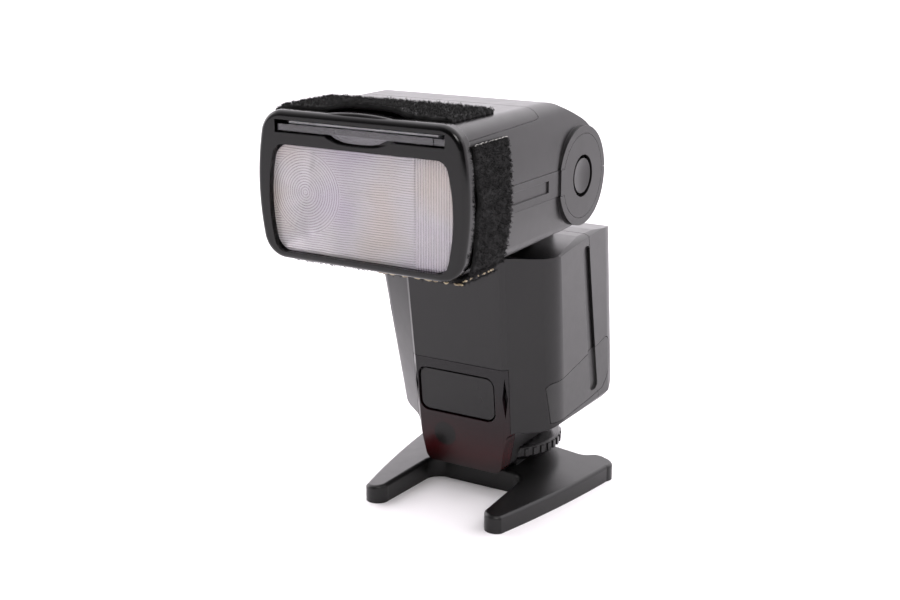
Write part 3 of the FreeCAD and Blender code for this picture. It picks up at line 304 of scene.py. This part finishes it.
def dried_glue():
    """Yellowed glue, lumpy and half clear."""
    s = Shader("dried_glue", Roughness=0.45, Coat_Weight=0.2)
    tones = [(0.35, (0.14, 0.10, 0.05)), (0.65, (0.45, 0.37, 0.23))]
    s.into("Base Color", s.ramp(s.noise(0.6, detail=4), tones))
    s.into("Normal", s.bump(s.noise(1.1, detail=3), 0.6, 0.15))
    return s.material


def paint_slots():
    """One material for each slot of the record, given to every CAD node."""
    looks = {
        "black_plastic": moulded("black_abs", 0.005, 0.32, depth=0.006, warm=0.08, ior=1.42),
        "panel_plastic": moulded("panel_abs", 0.006, 0.3, grain=2.2, depth=0.003, warm=0.06),
        "stand_plastic": moulded("stand_abs", 0.005, 0.34, grain=1.2, depth=0.008, edge=0.3),
        "key_plastic": moulded("key_abs", 0.022, 0.4, grain=2.0, depth=0.008),
        "red_window": red_window(),
        "lens_plastic": lens_acrylic(),
        "clear_panel": clear_plastic("clear_panel", (0.78, 0.76, 0.82), 0.12, grain=1.5),
        "screen": clear_plastic("screen_window", (0.5, 0.52, 0.5), 0.05),
        "tube_glass": clear_plastic("tube_glass", (0.97, 0.97, 0.98), 0.02),
        "white_card": moulded("white_card", 0.8, 0.35, warm=0.0),
        "rubber_cover": rubber("cover_rubber", 0.016, 0.4),
        "boot_rubber": rubber("boot_rubber", 0.75, 0.5),
        "steel": metal("steel", (0.55, 0.55, 0.57), 0.3, brushed=(1, 1, 8)),
        "bright_metal": metal("bright_reflector", (0.9, 0.9, 0.92), 0.16),
        "foot_metal": metal("foot_metal", (0.6, 0.6, 0.62), 0.32, brushed=(1, 10, 1)),
        "brass": metal("brass", (0.78, 0.58, 0.27), 0.28, brushed=(8, 8, 1)),
        "copper": metal("copper_winding", (0.72, 0.36, 0.18), 0.35, brushed=(1, 1, 12)),
        "board": circuit_board(),
        "capacitor": sleeve("capacitor_sleeve", (0.02, 0.02, 0.03), (0.03, 0.04, 0.09)),
        "cell": sleeve("cell_sleeve", (0.02, 0.07, 0.10), (0.45, 0.46, 0.47)),
        "display": display_panel(),
        "loop_fabric": loop_fabric("loop_backing", 0.003, 0.008),
    }
    for name, node in NODES.items():
        node.data.materials.clear()
        node.data.materials.append(looks[SLOTS[name]])
    bezel = moulded("bezel_abs", 0.002, 0.17, grain=2.2, depth=0.002, edge=0.3, ior=1.36)
    NODES["front_bezel"].data.materials[0] = bezel
    return looks


# ---------------------------------------------------------------- new pieces
def piece(name, vertices, faces, material, slot, body="head", smooth=True):
    """A mesh object, from points in millimetres, that rides on a body."""
    mesh = bpy.data.meshes.new(name)
    mesh.from_pydata([[c * MM for c in point] for point in vertices], [], faces)
    mesh.materials.append(material)
    mesh.polygons.foreach_set("use_smooth", [smooth] * len(mesh.polygons))
    mesh.update()
    made = bpy.data.objects.new(name, mesh)
    bpy.context.scene.collection.objects.link(made)
    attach(made, body)
    return made


def tube(path, radius, sides=3):
    """Vertices and faces of a closed tube along points; radius is a number or a function of the index."""
    points = [Vector(p) for p in path]
    vertices, faces = [], []
    last = len(points) - 1
    side = None
    for k, point in enumerate(points):
        along = (points[min(k + 1, last)] - points[max(k - 1, 0)]).normalized()
        if side is None:
            side = along.orthogonal().normalized()
        side = (side - along * side.dot(along)).normalized()
        other = along.cross(side)
        r = radius(k) if callable(radius) else radius
        for n in range(sides):
            turn = 2 * math.pi * n / sides
            vertices.append(point + side * (r * math.cos(turn)) + other * (r * math.sin(turn)))
    for k in range(last):
        for n in range(sides):
            a, b = k * sides + n, k * sides + (n + 1) % sides
            faces.append((a, b, b + sides, a + sides))
    faces.append(tuple(range(sides - 1, -1, -1)))
    faces.append(tuple(last * sides + n for n in range(sides)))
    return vertices, faces


TOP_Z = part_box("head_top_cover")[1][2] / MM
LOW_Z = 97.4
MID_Z = (TOP_Z + LOW_Z) / 2
PAD_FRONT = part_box("loop_pad_right")[0][1] / MM
BOW_R, HALF_CHORD, SIDE_X = 85.0, 22.75, 34.4


def bowed_side(z):
    """Half width of the head's bowed side at a height."""
    return SIDE_X + math.sqrt(BOW_R ** 2 - (z - MID_Z) ** 2) - math.sqrt(BOW_R ** 2 - HALF_CHORD ** 2)


def bump_line(x):
    """How far the top pad's front edge is pushed up and back by the bezel's finger bump."""
    return math.exp(-(x / 13.0) ** 4)


class Pad:
    """A strip of loop fabric. A place on it is (u, v) in millimetres: u across the head, v towards the back."""

    def __init__(self, name, width, depth, thick, ground, seed):
        self.name, self.width, self.depth, self.thick, self.ground = name, width, depth, thick, ground
        self.random = random.Random(seed)
        self.seed = Vector((seed * 7.3, seed * 1.7, seed * 3.1))

    def ragged(self, u, v):
        """Pushes the cut edges in and out."""
        far = Vector((u * 0.35, v * 0.35, 0)) + self.seed
        edge_u = min(u, self.width - u)
        edge_v = min(v, self.depth - v)
        du = 0.5 * noise.noise(far * 1.7) * max(0, 1 - edge_u / 2)
        dv = 0.45 * noise.noise(far + Vector((9, 9, 9))) * max(0, 1 - edge_v / 2)
        return u + du, v + dv

    def top(self, u, v):
        """Height of the pile's ground over the head, thinner at the cut edges."""
        edge = min(u, self.width - u, v, self.depth - v)
        swell = self.thick - 0.45 * math.exp(-max(edge, 0) / 0.7)
        where = Vector((u, v, 0)) + self.seed
        return swell + 0.16 * noise.noise(where * 1.2) + 0.14 * noise.noise(where * 0.25)

    def point(self, u, v, height):
        base, out = self.ground(u, v)
        return base + out * height

    def backing(self, material, step=0.55):
        columns, rows = round(self.width / step), round(self.depth / step)
        vertices, faces = [], []
        for lift in (False, True):
            for row in range(rows + 1):
                for column in range(columns + 1):
                    u, v = self.width * column / columns, self.depth * row / rows
                    height = self.top(u, v) if lift else 0.05
                    vertices.append(self.point(*self.ragged(u, v), height))
        across = columns + 1
        layer = across * (rows + 1)
        for row in range(rows):
            for column in range(columns):
                a = row * across + column
                quad = (a, a + 1, a + 1 + across, a + across)
                faces.append(tuple(reversed(quad)))
                faces.append(tuple(k + layer for k in quad))
        rim = list(range(columns)) + [r * across + columns for r in range(rows)]
        rim += [rows * across + c for c in range(columns, 0, -1)] + [r * across for r in range(rows, 0, -1)]
        for a, b in zip(rim, rim[1:] + rim[:1]):
            faces.append((a, b, b + layer, a + layer))
        return piece(self.name, vertices, faces, material, "loop_fabric")

    def pile(self, material, per_area=2.7):
        """Loose nylon loops over the whole face, with stray ones along the edges."""
        rand = self.random
        vertices, faces = [], []
        inside = round(self.width * self.depth * per_area)
        stray = round((self.width + self.depth) * 2 * 2.2)
        for k in range(inside + stray):
            u, v = rand.uniform(0, self.width), rand.uniform(0, self.depth)
            if k >= inside:
                if rand.random() < self.width / (self.width + self.depth):
                    v = rand.choice((rand.uniform(-0.1, 0.5), self.depth - rand.uniform(-0.1, 0.5)))
                else:
                    u = rand.choice((rand.uniform(-0.1, 0.5), self.width - rand.uniform(-0.1, 0.5)))
            turn, reach = rand.uniform(0, 2 * math.pi), rand.uniform(0.35, 0.95)
            high = rand.uniform(0.35, 1.0) + (0.5 if rand.random() < 0.06 else 0)
            start = self.top(u, v) - 0.15
            lean = rand.uniform(-0.35, 0.35)
            path = []
            for share in (0.0, 0.22, 0.5, 0.78, 1.0):
                spread = reach * (share - 0.5) * 2 * (1 + 0.5 * math.sin(math.pi * share))
                sway = lean * math.sin(math.pi * share) + rand.uniform(-0.1, 0.1)
                du = spread * math.cos(turn) * 0.5 - sway * math.sin(turn)
                dv = spread * math.sin(turn) * 0.5 + sway * math.cos(turn)
                path.append(self.point(u + du, v + dv, start + high * math.sin(math.pi * share)))
            more, sides = tube(path, rand.uniform(0.045, 0.075))
            offset = len(vertices)
            vertices += more
            faces += [tuple(n + offset for n in face) for face in sides]
        return piece(f"{self.name}_pile", vertices, faces, material, "loop_fabric")


def pad_grounds():
    """Each pad's place: what (u, v) means on the head, and which way is out."""

    def top(u, v):
        x = u - 34.0
        over = max(abs(x) - 28.4, 0.0)
        bump = bump_line(x) * math.exp(-max(v, 0) / 7.0)
        z = TOP_Z - 0.13 * over - 0.02 * over ** 2 + 2.3 * bump
        lean = 0.16 * math.copysign(min(over, 4) / 4, x)
        return Vector((x, PAD_FRONT + 0.5 + v + 0.3 * bump, z)), Vector((lean, 0, 1))

    def low(u, v):
        x = u - 29.5
        return Vector((x, PAD_FRONT + 0.8 + v, LOW_Z - 0.05)), Vector((0, 0, -1))

    def side(sign):
        def ground(u, v):
            z = 99.0 + u
            lift = 0.9 * math.exp(-max(v, 0) / 2.2) * (0.6 + 0.4 * math.sin(u * 0.35))
            slope = (z - MID_Z) / BOW_R
            flank = bowed_side(z) + lift
            return Vector((sign * flank, PAD_FRONT + 0.1 + v, z)), Vector((sign, 0, slope)).normalized()
        return ground

    return {"top": top, "low": low, "right": side(1), "left": side(-1)}


def loop_pads():
    """Hook-and-loop strips: backing, pile, the cut threads and the old glue."""
    backing = loop_fabric("loop_backing_black", 0.002, 0.006)
    hairs = loop_fabric("loop_hairs", 0.002, 0.010)
    places = pad_grounds()
    sizes = {"top": (63.5, 24.5, 1.7, "loop_pad_top", "head_top_cover", 3),
             "low": (63.0, 20.0, 1.9, "loop_pad_bottom", "head_lower_shell", 5),
             "right": (38.0, 20.5, 1.2, "loop_pad_right", "head_lower_shell", 7),
             "left": (38.0, 20.0, 1.2, "loop_pad_left", "head_lower_shell", 11)}
    for key, (width, depth, thick, node, rest, seed) in sizes.items():
        pad = Pad(f"loop_strip_{key}", width, depth, thick, places[key], seed)
        sheet = pad.backing(backing)
        pile = pad.pile(hairs)
        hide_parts(node)
    thread = Shader("cut_thread", Roughness=0.7)
    tones = [(0.4, (0.10, 0.10, 0.10)), (0.6, (0.42, 0.41, 0.38))]
    thread.into("Base Color", thread.ramp(thread.noise(0.8), tones))
    path = []
    for k in range(60):
        v = 20.3 * k / 59
        base, out = places["right"](38.1 + 0.25 * noise.noise(Vector((v * 0.8, 0, 4))), v)
        path.append(base + out * (1.0 + 0.3 * noise.noise(Vector((v, 3, 0)))))
    piece("loop_thread", *tube(path, 0.13, 5), thread.material, "loop_fabric")
    glue(places["low"])


def glue(ground):
    """Old glue squeezed out along the bottom strip's front and right edges."""
    rand = random.Random(23)
    vertices, faces = [], []

    def bead(path, thin, swell, points):
        """One lump of glue, thickest in its middle."""
        def radius(k):
            return thin + swell * math.sin(math.pi * (k + 0.4) / points) * rand.uniform(0.7, 1.2)
        more, sides = tube(path, radius, 7)
        offset = len(vertices)
        vertices.extend(more)
        faces.extend(tuple(n + offset for n in face) for face in sides)

    u = 33.0
    while u < 63.0:
        length = rand.uniform(1.2, 3.4)
        path = []
        for k in range(7):
            along = min(u + length * k / 6, 63.0)
            base, out = ground(along, -0.5 + 0.5 * noise.noise(Vector((along, 0, 0))))
            path.append(base + out * (1.7 + 0.3 * noise.noise(Vector((along * 1.3, 5, 0)))))
        bead(path, 0.16, 0.26, 7)
        u += length + rand.uniform(0.2, 3.2)
    v = 0.0
    while v < 17:
        length = rand.uniform(1.0, 2.6)
        path = []
        for k in range(6):
            along = v + length * k / 5
            base, out = ground(62.8 + 0.6 * noise.noise(Vector((along, 2, 0))), along)
            path.append(base + out * (0.9 + 0.5 * noise.noise(Vector((along * 1.3, 8, 0)))))
        bead(path, 0.14, 0.22, 6)
        v += length + rand.uniform(0.2, 1.8)
    piece("glue_residue", vertices, faces, dried_glue(), "loop_fabric")


# ---------------------------------------------------------------- lens
LENS_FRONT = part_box("fresnel_lens")[0][1] / MM


def lens_half_width(z, low, high):
    """Half width of the lens at a height: bowed ends with rounded corners."""
    middle = (low + high) / 2
    bow = math.sqrt(55.0 ** 2 - (z - middle) ** 2) - math.sqrt(55.0 ** 2 - ((high - low) / 2) ** 2)
    near = min(z - low, high - z)
    corner = 4.0 - math.sqrt(max(16.0 - max(4.0 - near, 0.0) ** 2, 0.0))
    return 30.7 + bow - corner


def lens_relief(x, z):
    """Height of the moulded prisms, in millimetres."""
    if x > BAND_X:
        return 0.30 * abs(((x - BAND_X) / 0.9) % 1.0 - 0.5) * 2
    if abs(x - BAND_X) < 0.35:
        return -0.2
    ring = math.hypot(x - RING_AT[0], (z - RING_AT[1]) * 1.15)
    rings = 0.12 * abs((ring / 0.85) % 1.0 - 0.5) * 2 * max(0.0, 1 - ring / 17)
    lines = 0.09 * abs((z / 0.76) % 1.0 - 0.5) * 2
    return rings + lines


def fresnel_lens(material):
    """The clear front lens: vertical prisms at the right, fine lines and rings over the rest."""
    low, high, front = 99.3, 132.9, LENS_FRONT
    step_x, step_z = 0.2, 0.19
    columns, rows = round(2 * 33.6 / step_x), round((high - low) / step_z)
    mesh = bmesh.new()
    grid = []
    for row in range(rows + 1):
        z = low + (high - low) * row / rows
        half = lens_half_width(z, low, high)
        line = []
        for column in range(columns + 1):
            x = -33.6 + 67.2 * column / columns
            x = max(-half, min(half, x))
            edge = min(half - abs(x), z - low, high - z)
            relief = lens_relief(x, z) * min(1.0, max(edge, 0) / 0.8)
            line.append(mesh.verts.new((x * MM, (front + 0.35 - relief) * MM, z * MM)))
        grid.append(line)
    for row in range(rows):
        for column in range(columns):
            below, above = grid[row], grid[row + 1]
            mesh.faces.new((below[column], below[column + 1], above[column + 1], above[column]))
    bmesh.ops.remove_doubles(mesh, verts=mesh.verts, dist=0.02 * MM)
    bmesh.ops.dissolve_degenerate(mesh, edges=mesh.edges, dist=0.005 * MM)
    rim = [edge for edge in mesh.edges if edge.is_boundary]
    back = bmesh.ops.extrude_edge_only(mesh, edges=rim)["geom"]
    for vertex in (g for g in back if isinstance(g, bmesh.types.BMVert)):
        vertex.co.y = (front + 2.2) * MM
    loop = [g for g in back if isinstance(g, bmesh.types.BMEdge)]
    bmesh.ops.contextual_create(mesh, geom=[g for g in loop if g.is_boundary])
    bmesh.ops.recalc_face_normals(mesh, faces=mesh.faces)
    data = bpy.data.meshes.new("fresnel_front")
    mesh.to_mesh(data)
    mesh.free()
    data.materials.append(material)
    pane = bpy.data.objects.new("fresnel_front", data)
    bpy.context.scene.collection.objects.link(pane)
    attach(pane, "head")
    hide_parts("fresnel_lens")


def light_box(material):
    """Bright funnel between the lens and the zoom reflector."""
    front_y, back_y = LENS_FRONT + 2.6, -77.2
    outer = [(-31.6, 99.4), (31.6, 99.4), (31.6, 132.8), (-31.6, 132.8)]
    inner = [(-26.2, 104.2), (26.2, 104.2), (26.2, 131.2), (-26.2, 131.2)]
    vertices, faces = [], []
    for thick in (0.0, 0.5):
        for ring, y in ((outer, front_y), (inner, back_y)):
            for (x0, z0), (x1, z1) in zip(ring, ring[1:] + ring[:1]):
                for k in range(8):
                    x, z = x0 + (x1 - x0) * k / 8, z0 + (z1 - z0) * k / 8
                    away = Vector((x, 0, z - 116.1)).normalized() * thick
                    vertices.append((x + away.x, y, z + away.z))
    for layer in (0, 64):
        for k in range(32):
            quad = (layer + k, layer + (k + 1) % 32, layer + 32 + (k + 1) % 32, layer + 32 + k)
            faces.append(quad if layer else tuple(reversed(quad)))
    for ring in (0, 32):
        for k in range(32):
            quad = (ring + k, ring + (k + 1) % 32, ring + 64 + (k + 1) % 32, ring + 64 + k)
            faces.append(tuple(reversed(quad)) if ring else quad)
    piece("light_box", vertices, faces, material, "bright_metal", smooth=False)


# ---------------------------------------------------------------- camera, floor and light
CAMERA_AT = Vector((0.2394, -0.4292, 0.2039))
CAMERA_YAW, CAMERA_PITCH = 0.548, 0.274
CAMERA_LENS = 56.4


def camera():
    data = bpy.data.cameras.new("camera")
    data.lens = CAMERA_LENS
    data.sensor_width = 36
    data.clip_start = 0.01
    eye = bpy.data.objects.new("camera", data)
    eye.location = CAMERA_AT
    eye.rotation_euler = (math.pi / 2 - CAMERA_PITCH, 0, CAMERA_YAW)
    bpy.context.scene.collection.objects.link(eye)
    bpy.context.scene.camera = eye


def softbox(name, at, aim, size, power, colour=(1, 1, 1)):
    data = bpy.data.lights.new(name, "AREA")
    data.shape = "RECTANGLE"
    data.size, data.size_y = size
    data.energy = power
    data.color = colour
    lamp = bpy.data.objects.new(name, data)
    lamp.location = at
    lamp.rotation_euler = (Vector(aim) - Vector(at)).to_track_quat("-Z", "Y").to_euler()
    bpy.context.scene.collection.objects.link(lamp)


def floor():
    """Wide pale floor."""
    reach, cells = 9.0, 12
    vertices = [(-reach + 2 * reach * i / cells, -reach + 2 * reach * j / cells, 0)
                for j in range(cells + 1) for i in range(cells + 1)]
    across = cells + 1
    faces = [(j * across + i, j * across + i + 1, (j + 1) * across + i + 1, (j + 1) * across + i)
             for j in range(cells) for i in range(cells)]
    mesh = bpy.data.meshes.new("floor")
    mesh.from_pydata(vertices, [], faces)
    ground = bpy.data.objects.new("floor", mesh)
    bpy.context.scene.collection.objects.link(ground)
    paper = Shader("floor_paper", Roughness=0.7)
    tones = [(0.3, (0.90, 0.885, 0.905)), (0.7, (0.92, 0.905, 0.92))]
    paper.into("Base Color", paper.ramp(paper.noise(0.004), tones))
    mesh.materials.append(paper.material)


def studio_surround():
    """White surround behind and beside the object, falling off towards the open front of the room.

    The camera itself sees a plain pale backdrop on every side."""
    world = bpy.data.worlds.new("studio")
    world.use_nodes = True
    tree = world.node_tree
    where = tree.nodes.new("ShaderNodeTexCoord")
    facing = tree.nodes.new("ShaderNodeVectorMath")
    facing.operation = "DOT_PRODUCT"
    facing.inputs[1].default_value = (-math.sin(CAMERA_YAW), math.cos(CAMERA_YAW), 0.25)
    spread = tree.nodes.new("ShaderNodeMapRange")
    spread.interpolation_type = "SMOOTHSTEP"
    spread.inputs["From Min"].default_value = -0.55
    spread.inputs["From Max"].default_value = 0.75
    spread.inputs["To Min"].default_value = 0.025
    spread.inputs["To Max"].default_value = 2.2
    tree.links.new(where.outputs["Generated"], facing.inputs[0])
    tree.links.new(facing.outputs["Value"], spread.inputs["Value"])
    sky = tree.nodes["Background"]
    sky.inputs["Color"].default_value = (1.0, 0.955, 1.0, 1)
    ray = tree.nodes.new("ShaderNodeLightPath")
    seen = tree.nodes.new("ShaderNodeMix")
    seen.inputs[3].default_value = 1.1
    tree.links.new(ray.outputs["Is Camera Ray"], seen.inputs[0])
    tree.links.new(spread.outputs[0], seen.inputs[2])
    tree.links.new(seen.outputs[0], sky.inputs["Strength"])
    bpy.context.scene.world = world


def lighting():
    studio_surround()
    sun = bpy.data.lights.new("overhead_silk", "SUN")
    sun.energy = 1.6
    sun.angle = math.radians(95)
    silk = bpy.data.objects.new("overhead_silk", sun)
    silk.rotation_euler = (math.radians(-14), math.radians(10), 0)
    bpy.context.scene.collection.objects.link(silk)
    softbox("key_box", (0.9, -1.4, 1.5), (0, -0.05, 0.1), (0.7, 0.7), 17, (1.0, 0.98, 0.96))
    softbox("right_rear_box", (1.3, 0.35, 0.6), (0.03, 0, 0.08), (1.0, 1.0), 4, (1.0, 0.92, 0.99))
    softbox("left_strip", (-1.1, -0.1, 0.35), (0, 0, 0.1), (0.5, 0.9), 3.5)
    bpy.context.scene.view_settings.view_transform = "Standard"


# ---------------------------------------------------------------- build
camera()
LOOKS = paint_slots()
loop_pads()
fresnel_lens(LOOKS["lens_plastic"])
light_box(LOOKS["bright_metal"])
floor()
lighting()
